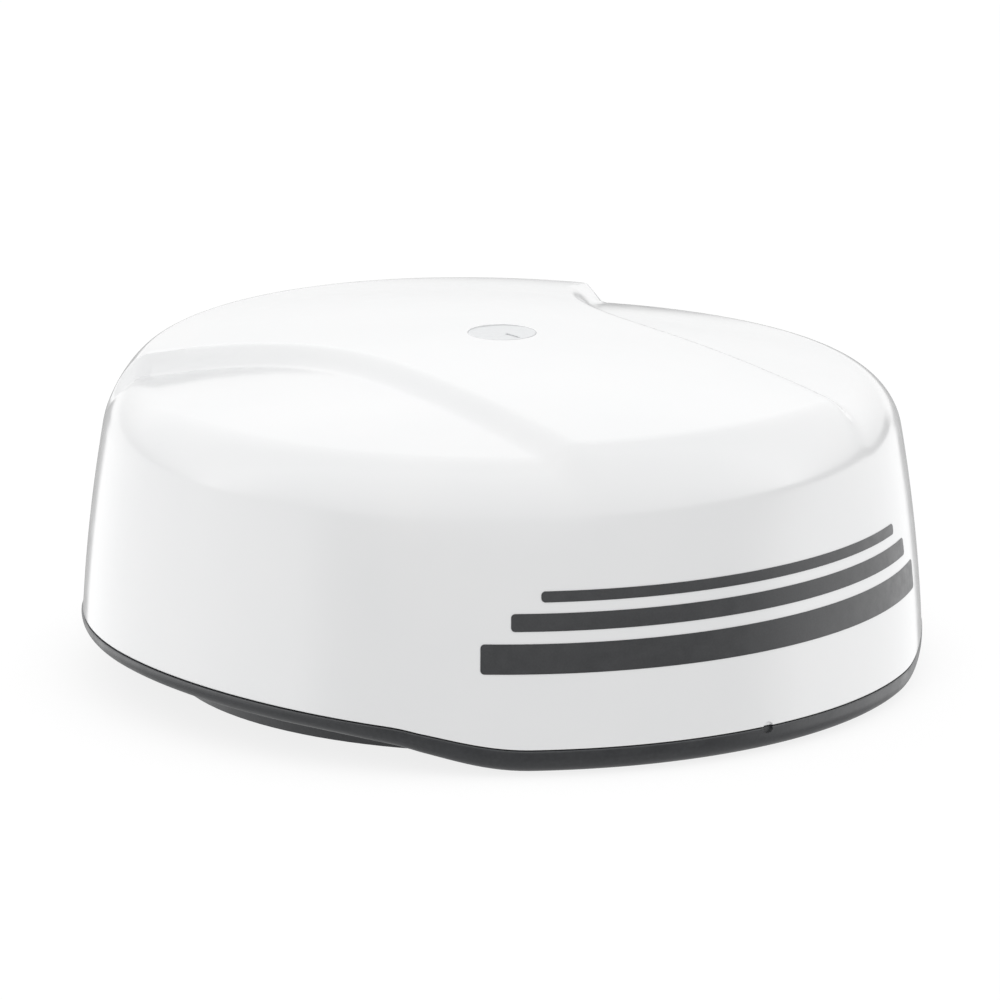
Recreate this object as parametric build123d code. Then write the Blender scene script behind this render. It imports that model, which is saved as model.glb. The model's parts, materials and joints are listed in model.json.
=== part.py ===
from build123d import *
import math
import os

# Marine radar dome antenna. +Z is up, -Y is the bow, the origin is the centre of the underside.
# All sizes are millimetres.

# ---- driving dimensions: outer shape ----
CHIN_Z = 20.0  # height of the cover's edge at the bow
RIM_R = 322.6  # cover radius at its edge
DOME_TOP = 228.5  # top of the plain dome above the chin edge, without the raised band
DOME_R = 1588.0  # radius of the dome's top arc
SHOULDER_R = 47.0  # radius of the rounded shoulder
SHOULDER_AXIS_R = 258.1  # distance of the shoulder arc's centre from the axis
SHOULDER_DRAFT = math.radians(10.2)  # wall slope where it meets the shoulder
COVER_WALL = 4.0
BAND_HEIGHT = 10.3  # raised fore-and-aft band above the dome, at the centre
BAND_TILT = 5.1  # extra height towards the stern at 300 mm
BAND_LIFT = 6.6  # extra height towards both ends at 300 mm
BAND_HALF = 123.8  # half width of the band at the centre, at mid slope
BAND_TAPER = -0.0256
BAND_FLARE = 120.0  # extra half width at the stern
BAND_SLOPE = 25.0  # width of the band's soft side slope
BAND_FADE = (270.2, 312.8)  # radii between which the band dies out
SEAM_GAP = 0.9  # gap between the cover's edge and the tray
LIP_CHIN = 17.5  # height of the tray's lip at the bow
LIP_SIDE = 12.5  # height of the tray's lip at the sides
NOTCH_R = 4.3  # round notch across the seam at the bow
MARK_R = 26.0  # round recess on the top
MARK_DEPTH = 1.4

# ---- driving dimensions: tray and sealing ----
PAN_R = 250.0  # inside radius of the electronics pan
FOOT_R = 254.0  # underside radius
FOOT_TOP_R = 262.0
FLOOR_T = 6.0
BOSS_TOP = 26.0
UPSTAND = (264.0, 276.0)  # sealing wall, inner and outer radius
UPSTAND_TOP = 60.0
LEDGE_Z = 62.0  # underside of the cover's sealing ledge
GASKET = (268.0, 273.0)
SCREW_CIRCLE_R = 290.0
SCREW_ANGLES = (33, 93, 153, 207, 267, 327)  # degrees from the bow
MOUNT_X, MOUNT_Y = 233.0, 143.5  # hole spacing of the four mounting threads
MOUNT_THREAD_R = 3.4

# ---- driving dimensions: drive train ----
PLATE_T = 3.0
PLATE_R = 216.0
PLATE_TOP = BOSS_TOP + PLATE_T
BEARING_OD_R, BEARING_ID_R, BEARING_W = 26.0, 12.5, 15.0
BEARING_Z = (29.0, 63.0)  # bottom faces of the two bearings
BALL_R, BALL_PITCH_R, BALLS = 3.95, 19.25, 9
HOUSING_TOP = 80.0
GEAR_MODULE, GEAR_TEETH, PINION_TEETH = 1.5, 80, 16
GEAR_Z, GEAR_W = 84.0, 8.0
BACKLASH = 0.25
AXLE_GAP = GEAR_MODULE * (GEAR_TEETH + PINION_TEETH) / 2
FIT = 0.02  # clearance of located faces
RUN = 0.08  # clearance of running fits

# ---- driving dimensions: antenna ----
ARRAY_HALF = 261.0
ARRAY_Z = (112.0, 198.0)
ARRAY_FRONT_Y = -36.0
CRADLE_Z = 96.0

# ---- driving dimensions: details ----
STRIPE_T = 0.35
STRIPES = ((40, 57, 79), (36, 88, 101), (32, 109, 117))  # half angle, low and high above the chin edge
BAY_HALF, BAY_WALL_Y, BAY_TOP = 66.0, 150.0, 32.0
SOCKET_X, SOCKET_Z, POWER_R, NETWORK_R = 28.0, 17.0, 10.0, 9.0
NUT_POCKET_Z = 4.4  # the floor is this thick under the sockets' nuts
VENT_Y = -190.0
BOSS_CIRCLE_R, HOUSING_SCREW_R = 205.0, 47.0
SCREW_R, SMALL_R = 1.95, 1.45  # shank radii of the two screw sizes
INSERT_R = 7.45
MAGNET_R = 52.0
PIN_R, PIN_TOP = 2.4, 106.0
RF_BOX = (-192.0, -64.0, -60.0, 50.0)
RF_EXIT_X = -80.0
MAIN_BOARD = (62.0, 190.0, -90.0, 72.0)
BOARD_Z = 35.0
HEADER_X = (84.0, 110.0, 136.0)
ARRAY_BACK_Y = -12.0
FEED_Z = 140.0

DOME_C_Z = DOME_TOP - DOME_R
SHOULDER_Z = DOME_C_Z + math.sqrt((DOME_R - SHOULDER_R) ** 2 - SHOULDER_AXIS_R**2)


def wall_arc():
    """Centre (r, z above the chin) and radius of the wall's arc, tangent to the shoulder."""
    dr = RIM_R - SHOULDER_AXIS_R
    sin_a, cos_a = math.sin(SHOULDER_DRAFT), math.cos(SHOULDER_DRAFT)
    shift = (dr**2 + SHOULDER_Z**2 - SHOULDER_R**2) / (2 * (SHOULDER_R - cos_a * dr + SHOULDER_Z * sin_a))
    return SHOULDER_AXIS_R - shift * cos_a, SHOULDER_Z - shift * sin_a, shift + SHOULDER_R


WALL_C_R, WALL_C_Z, WALL_R = wall_arc()
STEEPEST = math.radians(62)  # the height field goes on as a cone past this slope


def wall_radius(z, inset=0.0):
    """Wall radius at a height above the mount face."""
    return WALL_C_R + math.sqrt((WALL_R - inset) ** 2 - (z - CHIN_Z - WALL_C_Z) ** 2)


def dome_height(r, inset=0.0):
    """Height of the plain dome and its shoulder above the mount face."""
    turn = SHOULDER_AXIS_R * (DOME_R - inset) / (DOME_R - SHOULDER_R)
    if r <= turn:
        return CHIN_Z + DOME_C_Z + math.sqrt((DOME_R - inset) ** 2 - r * r)
    radius = SHOULDER_R - inset
    last = SHOULDER_AXIS_R + radius * math.sin(STEEPEST)
    reach = min(r, last) - SHOULDER_AXIS_R
    fall = (r - last) * math.tan(STEEPEST) if r > last else 0.0
    return CHIN_Z + SHOULDER_Z + math.sqrt(radius**2 - reach**2) - fall


def ease(t):
    t = min(1.0, max(0.0, t))
    return t * t * (3 - 2 * t)


def band_height(x, y):
    """Height of the raised band above the plain dome."""
    flare = BAND_FLARE * (max(0.0, y + 60) / 240) ** 3
    half = BAND_HALF + BAND_TAPER * y + flare
    across = ease((half + BAND_SLOPE / 2 - abs(x)) / BAND_SLOPE)
    fade = 1 - ease((math.hypot(x, y) - BAND_FADE[0]) / (BAND_FADE[1] - BAND_FADE[0]))
    return (BAND_HEIGHT + BAND_TILT * y / 300 + BAND_LIFT * (y / 300) ** 2) * across * fade


def seam_height(y):
    """Height of the parting line, which rises from the chin towards the sides and the stern."""
    late = min(1.0, max(0.0, (y + 215) / 270))
    return CHIN_Z + 13 * ease((y + 270) / 72) + 13 * (1 - (1 - late) ** 2)


def lip_bottom(y):
    return seam_height(y) - LIP_CHIN + (LIP_CHIN - LIP_SIDE) * ease((y + 260) / 110)


def ring(inner, outer, low, high):
    return Pos(0, 0, low) * (
        Cylinder(outer, high - low, align=(Align.CENTER, Align.CENTER, Align.MIN))
        - Cylinder(inner, high - low, align=(Align.CENTER, Align.CENTER, Align.MIN))
    )


def rod(radius, low, high, x=0.0, y=0.0):
    return Pos(x, y, low) * Cylinder(radius, high - low, align=(Align.CENTER, Align.CENTER, Align.MIN))


def block(x0, x1, y0, y1, z0, z1):
    return Pos((x0 + x1) / 2, (y0 + y1) / 2, (z0 + z1) / 2) * Box(x1 - x0, y1 - y0, z1 - z0)


def joined(parts):
    total = parts[0]
    for piece in parts[1:]:
        total = total + piece
    return total


def around(count, radius, start=0.0):
    """Points spread evenly on a circle, from the bow direction."""
    turns = [math.radians(start + 360 * k / count) for k in range(count)]
    return [(radius * math.sin(a), -radius * math.cos(a)) for a in turns]


def on_circle(degrees, radius):
    a = math.radians(degrees)
    return radius * math.sin(a), -radius * math.cos(a)


# ---- outer shell ----


def under_height_field(inset):
    """Solid below the domed top, made from a smooth surface through a square grid of heights."""
    reach, steps = 332.0, 64
    grid = [2 * reach * k / steps - reach for k in range(steps + 1)]
    rows = [[(x, y, dome_height(math.hypot(x, y), inset) + band_height(x, y)) for x in grid] for y in grid]
    top = Face.make_surface_from_array_of_points(rows, tol=0.4, min_deg=3, max_deg=3)
    return Solid.extrude(top, Vector(0, 0, -420))


def wall_stock(inset):
    """Drafted round stock of the cover, tall enough to be cut by the domed top."""
    low, high = -30.0, CHIN_Z + DOME_TOP + 40
    middle = (low + high) / 2
    side = ThreePointArc(
        (wall_radius(low, inset), low),
        (wall_radius(middle, inset), middle),
        (wall_radius(high, inset), high),
    )
    rest = Polyline((wall_radius(high, inset), high), (0, high), (0, low), (wall_radius(low, inset), low))
    return revolve(make_face(Plane.XZ * (side + rest)), Axis.Z)


def below(height, offset=0.0):
    """Everything below a height that depends on y only."""
    reach, low, steps = 380.0, -60.0, 26
    first, last = -275.0, 60.0
    ys = [first + (last - first) * k / steps for k in range(steps + 1)]
    curve = Spline(*[(y, height(y) + offset) for y in ys], tangents=[(1, 0), (1, 0)])
    start, end = curve @ 0, curve @ 1
    rest = Polyline(
        (end.X, end.Y), (reach, end.Y), (reach, low), (-reach, low), (-reach, start.Y), (start.X, start.Y)
    )
    return extrude(make_face(Plane.YZ * (curve + rest)), reach, both=True)


def cover_boss(x, y):
    return rod(7.0, CHIN_Z - 4, LEDGE_Z + 4, x, y)


def radome_cover():
    outer = wall_stock(0.0) & under_height_field(0.0)
    inner = wall_stock(COVER_WALL) & under_height_field(COVER_WALL)
    shell = outer - inner
    ledge = (ring(GASKET[0] - 2, RIM_R + 5, LEDGE_Z, LEDGE_Z + 4)) & wall_stock(COVER_WALL / 2)
    bosses = joined([cover_boss(*on_circle(a, SCREW_CIRCLE_R)) for a in SCREW_ANGLES])
    cover = (shell + ledge + bosses) - below(seam_height, SEAM_GAP)
    for a in SCREW_ANGLES:
        x, y = on_circle(a, SCREW_CIRCLE_R)
        cover = cover - rod(4.0, CHIN_Z - 5, LEDGE_Z - 4, x, y)
    top = dome_height(0.0) + band_height(0.0, 0.0)
    cover = cover - rod(MARK_R, top - MARK_DEPTH, top + 5)
    return cover - seam_notch()


def seam_notch():
    return Pos(0, -RIM_R - 2, CHIN_Z) * Rot(90, 0, 0) * Cylinder(NOTCH_R, 8)


def cover_inserts():
    """Threaded inserts in the cover's bosses."""
    group = []
    for a in SCREW_ANGLES:
        x, y = on_circle(a, SCREW_CIRCLE_R)
        low = seam_height(y) + 1.5
        group.append(rod(3.98, low, low + 10, x, y) - rod(2.5, low - 1, low + 11, x, y))
    return Compound(children=group)


def wall_sector(half_angle, low, high):
    """Wedge from the axis towards the bow, between two heights."""
    reach = RIM_R + 60
    side = reach * math.sin(math.radians(half_angle))
    front = reach * math.cos(math.radians(half_angle))
    wedge = make_face(Polyline((0, 0), (side, -front), (-side, -front), (0, 0)))
    return extrude(Pos(0, 0, low) * wedge, high - low)


def side_stripes():
    """Three plain bars printed round the front wall."""
    skin = wall_stock(-STRIPE_T) - wall_stock(0.0)
    bars = [skin & wall_sector(half, CHIN_Z + low, CHIN_Z + high) for half, low, high in STRIPES]
    return Compound(children=bars)


def bow_mark():
    """Round inlay in the top's recess, with a slot that points to the bow."""
    floor = dome_height(0.0) + band_height(0.0, 0.0) - MARK_DEPTH
    disc = rod(MARK_R - 0.2, floor, floor + 0.8)
    return disc - block(-1.5, 1.5, -22, -5, floor - 1, floor + 2)


# ---- tray ----


def lip_band():
    """Round slab between the parting line and the lip's underside."""
    return (rod(RIM_R - 0.2, -20, 80) & below(seam_height)) - below(lip_bottom)


def connector_bay():
    return block(-BAY_HALF - 4, BAY_HALF + 4, BAY_WALL_Y, 245, FLOOR_T - 1, BAY_TOP + 4)


def bay_space():
    return block(-BAY_HALF, BAY_HALF, BAY_WALL_Y + 4, 300, -2, BAY_TOP)


def mount_points():
    return [(sx * MOUNT_X / 2, sy * MOUNT_Y / 2) for sx in (-1, 1) for sy in (-1, 1)]


def underside_recess():
    pads = joined([rod(22, -2, 3, x, y) for x, y in mount_points()])
    bay_rim = block(-BAY_HALF - 8, BAY_HALF + 8, BAY_WALL_Y - 8, 260, -2, 3)
    return ring(100, 236, -1, 2.5) - pads - bay_rim


def base_tray():
    profile = Polyline((0, 0), (FOOT_R, 0), (FOOT_TOP_R, 46), (0, 46), close=True)
    foot = revolve(make_face(Plane.XZ * profile), Axis.Z) & below(lip_bottom, 1.0)
    upstand = ring(*UPSTAND, 10, UPSTAND_TOP) - below(lip_bottom, 1.0)
    tray = foot + lip_band() + upstand
    tray = tray - rod(PAN_R, FLOOR_T, 90)
    tray = tray - (ring(PAN_R - 1, UPSTAND[0], 0, 90) - below(lip_bottom, 8.0))
    tray = tray - (ring(UPSTAND[1], 308, 0, 90) - below(lip_bottom, 5.0))
    tray = tray - ring(GASKET[0] - 0.1, GASKET[1] + 0.1, UPSTAND_TOP - 2, 90)
    for a in SCREW_ANGLES:
        x, y = on_circle(a, SCREW_CIRCLE_R)
        pillar = rod(7, 0, 80, x, y) - below(lip_bottom, 2.0)
        tray = tray + (pillar & below(seam_height))
        tray = tray - rod(2.75, -5, 80, x, y) - rod(5.2, -5, lip_bottom(y) + 3, x, y)
    for x, y in around(6, BOSS_CIRCLE_R, 30):
        tray = tray + rod(8, FLOOR_T - 1, BOSS_TOP, x, y) - rod(SCREW_R + 0.05, 12, BOSS_TOP + 1, x, y)
    for x, y in mount_points():
        tray = tray + rod(14, FLOOR_T - 1, BOSS_TOP, x, y) - rod(INSERT_R + FIT, -1, 20, x, y)
    for a in range(15, 360, 30):
        if abs(a - 180) > 30:
            rib = block(-1.5, 1.5, -PAN_R - 2, -60, FLOOR_T - 1, FLOOR_T + 8)
            tray = tray + Rot(0, 0, a) * rib
    tray = tray + connector_bay() - bay_space() - underside_recess()
    tray = tray - block(-46, 46, BAY_WALL_Y - 10, BAY_WALL_Y, NUT_POCKET_Z, FLOOR_T + 1)
    for x, radius in ((-SOCKET_X, POWER_R), (SOCKET_X, NETWORK_R)):
        tray = tray - socket_axis(x) * Cylinder(radius + 0.1, 30)
    tray = tray - rod(6.1, -1, FLOOR_T + 1, 0, VENT_Y)
    return tray - seam_notch()


def socket_axis(x, y=BAY_WALL_Y):
    return Pos(x, y, SOCKET_Z) * Rot(-90, 0, 0)


def mount_inserts():
    inserts = [rod(INSERT_R, 0, 20, x, y) - rod(MOUNT_THREAD_R, -1, 16, x, y) for x, y in mount_points()]
    return Compound(children=inserts)


def rim_gasket():
    return ring(*GASKET, UPSTAND_TOP - 2, LEDGE_Z - 0.3)


def cover_screws():
    """Captive screws under the lip; their shanks stand in the cover's inserts."""
    group = []
    for a in SCREW_ANGLES:
        x, y = on_circle(a, SCREW_CIRCLE_R)
        seat = lip_bottom(y) + 3
        head = rod(4.8, seat - 4.6, seat, x, y)
        socket = Pos(x, y, seat - 4.6) * extrude(RegularPolygon(2.3, 6), 2.6)
        group.append(head + rod(2.42, seat, seam_height(y) + 10.5, x, y) - socket)
    return Compound(children=group)


def breather_vent():
    plug = rod(6.0, 3.0, FLOOR_T + 2, 0, VENT_Y) + rod(9.0, FLOOR_T, FLOOR_T + 2, 0, VENT_Y)
    for x, y in around(6, 3.4):
        plug = plug - rod(0.8, 2, FLOOR_T + 3, x, VENT_Y + y)
    return plug


# ---- sockets in the connector bay ----


def socket_body(x, radius, flange_r):
    turn = socket_axis(x)
    flange = turn * Pos(0, 0, 5.0 + 1.5) * Cylinder(flange_r, 3)
    barrel = turn * Pos(0, 0, -1) * Cylinder(radius, 38)
    hollow = turn * Pos(0, 0, 12) * Cylinder(radius - 2, 12.01)
    return flange + barrel - hollow


def power_socket():
    return socket_body(-SOCKET_X, POWER_R, 14.0)


def network_socket():
    return socket_body(SOCKET_X, NETWORK_R, 13.0)


def socket_seals():
    return Compound(
        children=[
            socket_axis(x) * Pos(0, 0, 4.5) * (Cylinder(flange_r - 0.5, 1) - Cylinder(radius + 0.1, 1))
            for x, radius, flange_r in ((-SOCKET_X, POWER_R, 14.0), (SOCKET_X, NETWORK_R, 13.0))
        ]
    )


def socket_nuts():
    nuts = []
    for x, radius in ((-SOCKET_X, POWER_R), (SOCKET_X, NETWORK_R)):
        nut = extrude(RegularPolygon(radius + 2.2, 6, major_radius=False), 5)
        nuts.append(socket_axis(x) * Pos(0, 0, -5) * (nut - Pos(0, 0, 2.5) * Cylinder(radius + 0.05, 6)))
    return Compound(children=nuts)


def socket_pins():
    pins = []
    for x, count, radius in ((-SOCKET_X, 3, 3.6), (SOCKET_X, 6, 3.8)):
        for px, py in around(count, radius):
            pins.append(socket_axis(x) * Pos(px, py, 10) * Cylinder(0.9, 8))
    return Compound(children=pins)


# ---- chassis ----


def chassis_plate():
    plate = rod(PLATE_R, BOSS_TOP, PLATE_TOP) - rod(20, 20, 40)
    plate = plate - block(-BAY_HALF - 8, BAY_HALF + 8, 104, 260, 20, 40)
    for x, y in around(6, BOSS_CIRCLE_R, 30):
        plate = plate - rod(SCREW_R + 0.3, 20, 40, x, y)
    for x, y in around(6, HOUSING_SCREW_R, 30):
        plate = plate - rod(SMALL_R + 0.05, 20, 40, x, y)
    for x, y in foot_points():
        plate = plate - rod(SMALL_R + 0.05, 20, 40, x, y)
    for x in (-70, 70):
        plate = plate - rod(22, 20, 40, x, -150)
    return plate - rod(3, 20, 40, RF_EXIT_X, 0)


def foot_points():
    """Screws of the motor bracket's feet."""
    return [(sx * 36, AXLE_GAP + dy) for sx in (-1, 1) for dy in (-11, 11)]


def pan_screw(x, y, z, shank, head_r, head_h, length):
    """Cross-recess screw seen from above: z is the seat of its head."""
    screw = rod(head_r, z, z + head_h, x, y) + rod(shank, z - length, z, x, y)
    slot = block(-head_r * 0.6, head_r * 0.6, -0.4, 0.4, z + head_h - 0.9, z + head_h + 1)
    cross = slot + Rot(0, 0, 90) * slot
    return fillet(screw.edges().group_by(Axis.Z)[-1], head_h * 0.35) - Pos(x, y, 0) * cross


def chassis_screws():
    points = around(6, BOSS_CIRCLE_R, 30)
    return Compound(children=[pan_screw(x, y, PLATE_TOP, SCREW_R, 4.0, 2.6, 15) for x, y in points])


def spindle_housing():
    seat, bore = BEARING_OD_R + FIT, 23.0
    low, high = BEARING_Z
    outline = Polyline(
        (seat, low), (55, low), (55, low + 6), (36, low + 6), (32, low + 10), (32, HOUSING_TOP),
        (seat, HOUSING_TOP), (seat, high), (bore, high), (bore, low + BEARING_W), (seat, low + BEARING_W),
        close=True,
    )
    housing = revolve(make_face(Plane.XZ * outline), Axis.Z)
    for k in range(6):
        web = Polyline((31, low + 5), (52, low + 5), (31, low + 36), close=True)
        plate = extrude(make_face(Plane.XZ * web), 2, both=True)
        housing = housing + Rot(0, 0, 60 * k + 30) * plate
    for x, y in around(6, HOUSING_SCREW_R, 30):
        housing = housing - rod(SMALL_R + 0.3, 20, 40, x, y)
    return housing - rod(seat, low - 1, low + BEARING_W) - rod(seat, high, HOUSING_TOP + 1)


# ---- bearings ----


def ball_track(z):
    return Pos(0, 0, z + BEARING_W / 2) * Torus(BALL_PITCH_R, BALL_R + RUN)


def bearing_outer(z):
    return ring(21.6, BEARING_OD_R, z, z + BEARING_W) - ball_track(z)


def bearing_inner(z):
    return ring(BEARING_ID_R, 16.9, z, z + BEARING_W) - ball_track(z)


def bearing_balls(z):
    return Compound(
        children=[Pos(x, y, z + BEARING_W / 2) * Sphere(BALL_R) for x, y in around(BALLS, BALL_PITCH_R)]
    )


def bearing_cage(z):
    middle = z + BEARING_W / 2
    cage = ring(17.9, 20.6, middle - 5.2, middle + 5.2)
    for k in range(BALLS):
        pocket = Pos(0, -BALL_PITCH_R, middle) * Rot(90, 0, 0) * Cylinder(BALL_R + 0.2, 8)
        cage = cage - Rot(0, 0, 360 * k / BALLS) * pocket
    return cage


def bearing_spacer():
    return ring(BEARING_ID_R + FIT, 16, BEARING_Z[0] + BEARING_W, BEARING_Z[1])


# ---- rotor drive ----

SHAFT_R = BEARING_ID_R - FIT
SHAFT_TOP = CRADLE_Z + 3
HUB_Z = BEARING_Z[1] + BEARING_W


def spindle_shaft():
    shaft = rod(SHAFT_R, 26.4, SHAFT_TOP) - rod(5.0, 20, 120)
    return shaft - ring(11.5, 14, 27.2, 28.7)


def shaft_clip():
    clip = ring(11.55, 15.0, 27.25, 28.65)
    return clip - block(-2.5, 2.5, -20, 0, 20, 40)


def rotor_hub():
    outline = Polyline(
        (BEARING_ID_R, HUB_Z), (17, HUB_Z), (17, HUB_Z + 3.5), (22 - FIT, HUB_Z + 3.5),
        (22 - FIT, GEAR_Z + GEAR_W), (45, GEAR_Z + GEAR_W), (45, CRADLE_Z), (BEARING_ID_R, CRADLE_Z),
        close=True,
    )
    hub = revolve(make_face(Plane.XZ * outline), Axis.Z)
    for x, y in around(4, 31):
        hub = hub - rod(SMALL_R + 0.05, 80, 100, x, y)
    for x, y in around(4, 31, 45):
        hub = hub - rod(SCREW_R + 0.05, 80, 100, x, y)
    return hub


def involute_point(base, radius, turn):
    """Point of an involute flank, where turn is the angle at which the flank leaves the base circle."""
    pressure = math.acos(min(1.0, base / radius))
    angle = turn + math.tan(pressure) - pressure
    return radius * math.cos(angle), radius * math.sin(angle)


def gear_face(teeth, bore):
    """Involute spur gear outline, with each flank drawn as one arc and a tooth centred on +X."""
    pitch = GEAR_MODULE * teeth / 2
    base = pitch * math.cos(math.radians(20))
    tip, root = pitch + GEAR_MODULE, pitch - 1.25 * GEAR_MODULE
    start = max(base, root)
    half_tooth = math.pi / 2 / teeth - BACKLASH / 2 / pitch
    lean = math.tan(math.radians(20)) - math.radians(20)
    edges = []
    for k in range(teeth):
        middle = 2 * math.pi * k / teeth
        flank = [involute_point(base, r, -half_tooth - lean) for r in (start, (start + tip) / 2, tip)]
        low, mid, high = [Vector(x, y).rotate(Axis.Z, math.degrees(middle)) for x, y in flank]
        low2, mid2, high2 = [Vector(x, -y).rotate(Axis.Z, math.degrees(middle)) for x, y in flank]
        foot, foot2 = low.normalized() * root, low2.normalized() * root
        following = foot.rotate(Axis.Z, 360 / teeth)
        edges += [ThreePointArc(low, mid, high), Line(high, high2), ThreePointArc(high2, mid2, low2)]
        if start > root:
            edges += [Line(foot, low), Line(low2, foot2)]
        edges.append(Line(foot2, following))
    return make_face(edges) - Circle(bore)


def main_gear():
    gear = Pos(0, 0, GEAR_Z) * extrude(gear_face(GEAR_TEETH, 22.0), GEAR_W)
    for x, y in around(4, 31):
        gear = gear - rod(SMALL_R + 0.3, 80, 100, x, y)
    for x, y in around(12, 50, 15):
        gear = gear - rod(3.5, 80, 100, x, y)
    return gear - rod(3.02, GEAR_Z - 1, GEAR_Z + 3, 0, -MAGNET_R)


def gear_screws():
    """Screws that hold the gear up against the hub's flange, with their heads below."""
    screws = []
    for x, y in around(4, 31):
        head = rod(2.8, GEAR_Z - 2.2, GEAR_Z, x, y) - rod(1.2, GEAR_Z - 3, GEAR_Z - 1, x, y)
        screws.append(head + rod(SMALL_R, GEAR_Z, CRADLE_Z - 0.5, x, y))
    return Compound(children=screws)


def index_magnet():
    return rod(3.0, GEAR_Z - 0.8, GEAR_Z + 3, 0, -MAGNET_R)


def drive_motor():
    body = rod(21, 38, 74, 0, AXLE_GAP) + rod(11, 74, 76, 0, AXLE_GAP) + rod(16, 35.5, 38, 0, AXLE_GAP)
    rims = body.edges().filter_by(GeomType.CIRCLE).filter_by(lambda e: abs(e.radius - 21) < 0.1)
    body = chamfer(rims, 1.2)
    for x, y in around(4, 15.5, 45):
        body = body - rod(SMALL_R + 0.05, 68, 80, x, y + AXLE_GAP)
    return body - rod(2.5 + RUN, 58, 80, 0, AXLE_GAP)


def motor_shaft():
    return rod(2.5, 58.5, GEAR_Z + GEAR_W + 2, 0, AXLE_GAP)


def motor_pinion():
    # A tooth space faces the main gear's tooth at rest.
    half_pitch = 180 / PINION_TEETH
    face = Rot(0, 0, -90 + half_pitch) * gear_face(PINION_TEETH, 2.5 + FIT)
    teeth = Pos(0, AXLE_GAP, GEAR_Z - 1) * extrude(face, GEAR_W + 2)
    hub = rod(6.5, GEAR_Z - 4, GEAR_Z - 1, 0, AXLE_GAP) - rod(2.5 + FIT, 70, 100, 0, AXLE_GAP)
    return teeth + hub


def motor_bracket():
    low, high = AXLE_GAP - 18, AXLE_GAP + 20
    bracket = block(-30, 30, 41, high, 74, 78)
    for side in (-1, 1):
        leg, toe = sorted((side * 26, side * 30)), sorted((side * 26, side * 42))
        bracket = bracket + block(*leg, low, high, PLATE_TOP, 74)
        bracket = bracket + block(*toe, low, high, PLATE_TOP, PLATE_TOP + 3)
    bracket = bracket - rod(11.1, 70, 80, 0, AXLE_GAP)
    for x, y in around(4, 15.5, 45):
        bracket = bracket - rod(SMALL_R + 0.3, 70, 80, x, y + AXLE_GAP)
    for x, y in foot_points():
        bracket = bracket - rod(SMALL_R + 0.3, 20, 40, x, y)
    return bracket


def drive_screws():
    """Screws of the spindle housing, the motor and the motor bracket's feet."""
    points = around(6, HOUSING_SCREW_R, 30)
    screws = [pan_screw(x, y, PLATE_TOP + 6, SMALL_R, 3.2, 2.2, 8.5) for x, y in points]
    screws += [pan_screw(x, y + AXLE_GAP, 78, SMALL_R, 2.8, 2.0, 9) for x, y in around(4, 15.5, 45)]
    screws += [pan_screw(x, y, PLATE_TOP + 3, SMALL_R, 2.8, 2.0, 6) for x, y in foot_points()]
    return Compound(children=screws)


def sensor_post():
    post = block(-8, 8, -80, -65, PLATE_TOP, PLATE_TOP + 1.5) + block(-8, 8, -68, -65, PLATE_TOP, 80)
    return post + block(-8, 8, -68, -48, 77.5, 80) - block(-3, 3, -69, -64, 40, 65)


def position_sensor():
    return block(-4, 4, -MAGNET_R - 3, -MAGNET_R + 3, 80, 82) + block(-7, 7, -62, -MAGNET_R - 3, 80, 81)


# ---- rotary joint and coaxial leads ----


def rotary_joint_stator():
    body = rod(16, 8, 23) + rod(24, 23, BOSS_TOP) + rod(PIN_R, BOSS_TOP, PIN_TOP)
    return body + Pos(-19, 0, 15) * Rot(0, 90, 0) * Cylinder(4, 8)


def rotary_joint_rotor():
    cap = rod(17, SHAFT_TOP, SHAFT_TOP + 2.5) + rod(12, SHAFT_TOP, SHAFT_TOP + 13)
    cap = cap - rod(PIN_R + RUN, SHAFT_TOP - 1, PIN_TOP + 1)
    return fillet(cap.edges().group_by(Axis.Z)[-1], 2)


def tube_along(points, radii, thickness):
    path = FilletPolyline(*points, radius=radii)
    section = Plane(origin=path @ 0, z_dir=path % 0) * Circle(thickness)
    return sweep(section, path)


def transceiver_coax():
    """Lead from the transceiver's floor, through the plate, to the stator's side port."""
    route = [(RF_EXIT_X, 0, PLATE_TOP + 4.5), (RF_EXIT_X, 0, 15), (-23, 0, 15)]
    return tube_along(route, 8, 1.8)


def feed_coax():
    top = SHAFT_TOP + 13
    plug_y = ARRAY_BACK_Y + 5
    route = [(0, 0, top), (0, 0, top + 7), (0, plug_y, top + 15), (0, plug_y, FEED_Z - 6)]
    return tube_along(route, 5, 1.8)


def feed_plug():
    return block(-6, 6, ARRAY_BACK_Y, ARRAY_BACK_Y + 9, FEED_Z - 6, FEED_Z + 6)


# ---- antenna ----


def antenna_cradle():
    cradle = block(-70, 70, -45, 50, CRADLE_Z, CRADLE_Z + 3)
    cradle = cradle + block(-70, 70, ARRAY_BACK_Y, ARRAY_BACK_Y + 3, CRADLE_Z, 172)
    for side in (-66, 66):
        gusset = Polyline(
            (ARRAY_BACK_Y, CRADLE_Z), (46, CRADLE_Z), (46, CRADLE_Z + 12), (ARRAY_BACK_Y, 168), close=True
        )
        cradle = cradle + Pos(side, 0, 0) * extrude(make_face(Plane.YZ * gusset), 1.5, both=True)
    cradle = cradle - rod(SHAFT_R + 0.1, 90, 110) - block(-21, 21, -20, 0, CRADLE_Z + 3, 154)
    for x, y in around(4, 31, 45):
        cradle = cradle - rod(SCREW_R + 0.3, 90, 110, x, y)
    for x in (-32, 32):
        cradle = cradle - rod(SCREW_R + 0.3, 90, 110, x, 40)
    for x, z in array_screw_points():
        cradle = cradle - Pos(x, ARRAY_BACK_Y, z) * Rot(90, 0, 0) * Cylinder(SCREW_R + 0.3, 20)
    return cradle


def array_screw_points():
    return [(sx * 48, z) for sx in (-1, 1) for z in (125, 162)]


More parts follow.
